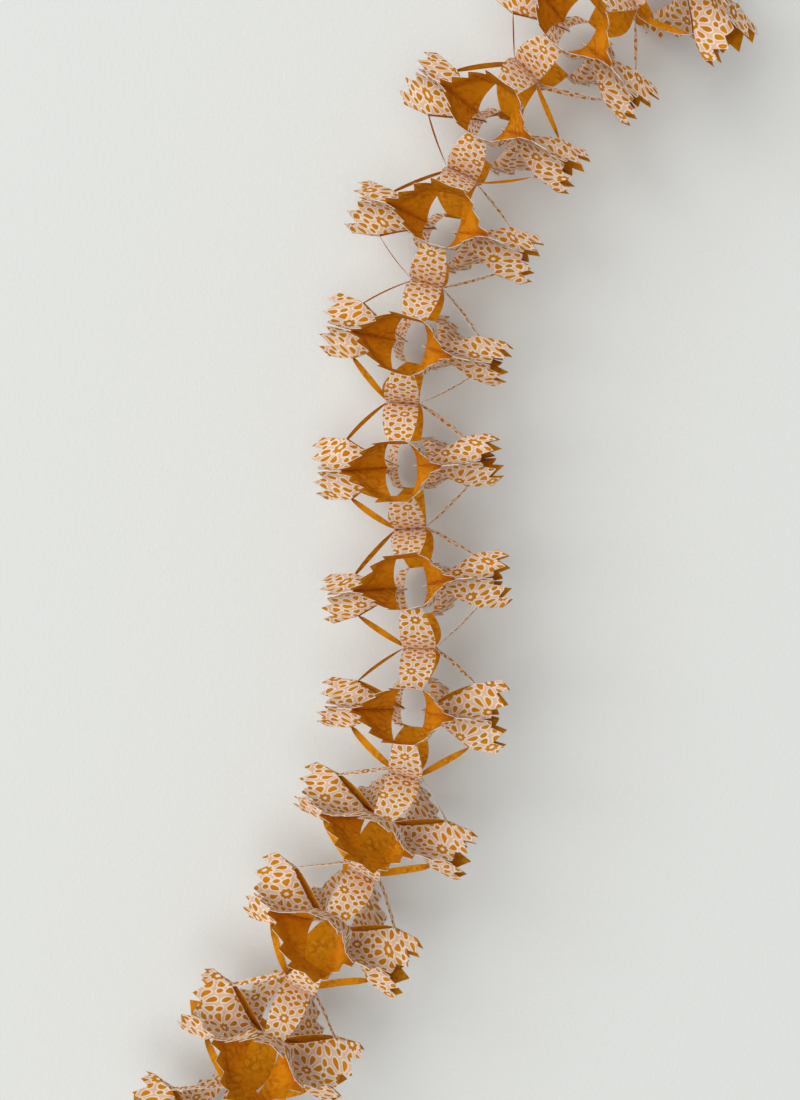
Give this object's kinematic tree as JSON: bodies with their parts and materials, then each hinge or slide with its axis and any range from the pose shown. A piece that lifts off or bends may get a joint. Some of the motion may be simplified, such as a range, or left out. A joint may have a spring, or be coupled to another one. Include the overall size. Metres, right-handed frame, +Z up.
{
  "type": "paper streamer",
  "caption": "Hanging party garland of folded and cut printed paper units, with pinked edges, wide petals and thin straps, curving in a long S down a wall.",
  "frame": {"origin": "middle of the outer face of the topmost centre square, where the streamer is hung", "axes": "+Z up, +X to the right along the wall as seen from the room, +Y into the wall"},
  "size_m": [0.4175, 0.1377, 0.899],
  "materials": {
    "printed_paper": "matte thin paper, small ochre block print on pinkish white outside and plain mustard inside"
  },
  "bodies": {
    "root": {"unit_01_upper_sheet": "printed_paper", "unit_01_lower_sheet": "printed_paper", "unit_02_upper_sheet": "printed_paper", "unit_02_lower_sheet": "printed_paper", "unit_03_upper_sheet": "printed_paper", "unit_03_lower_sheet": "printed_paper", "unit_04_upper_sheet": "printed_paper", "unit_04_lower_sheet": "printed_paper", "unit_05_upper_sheet": "printed_paper", "unit_05_lower_sheet": "printed_paper", "unit_06_upper_sheet": "printed_paper", "unit_06_lower_sheet": "printed_paper", "unit_07_upper_sheet": "printed_paper", "unit_07_lower_sheet": "printed_paper", "unit_08_upper_sheet": "printed_paper", "unit_08_lower_sheet": "printed_paper", "unit_09_upper_sheet": "printed_paper", "unit_09_lower_sheet": "printed_paper", "unit_10_upper_sheet": "printed_paper", "unit_10_lower_sheet": "printed_paper", "unit_11_upper_sheet": "printed_paper", "unit_11_lower_sheet": "printed_paper", "unit_12_upper_sheet": "printed_paper", "unit_12_lower_sheet": "printed_paper"}
  },
  "joints": []
}
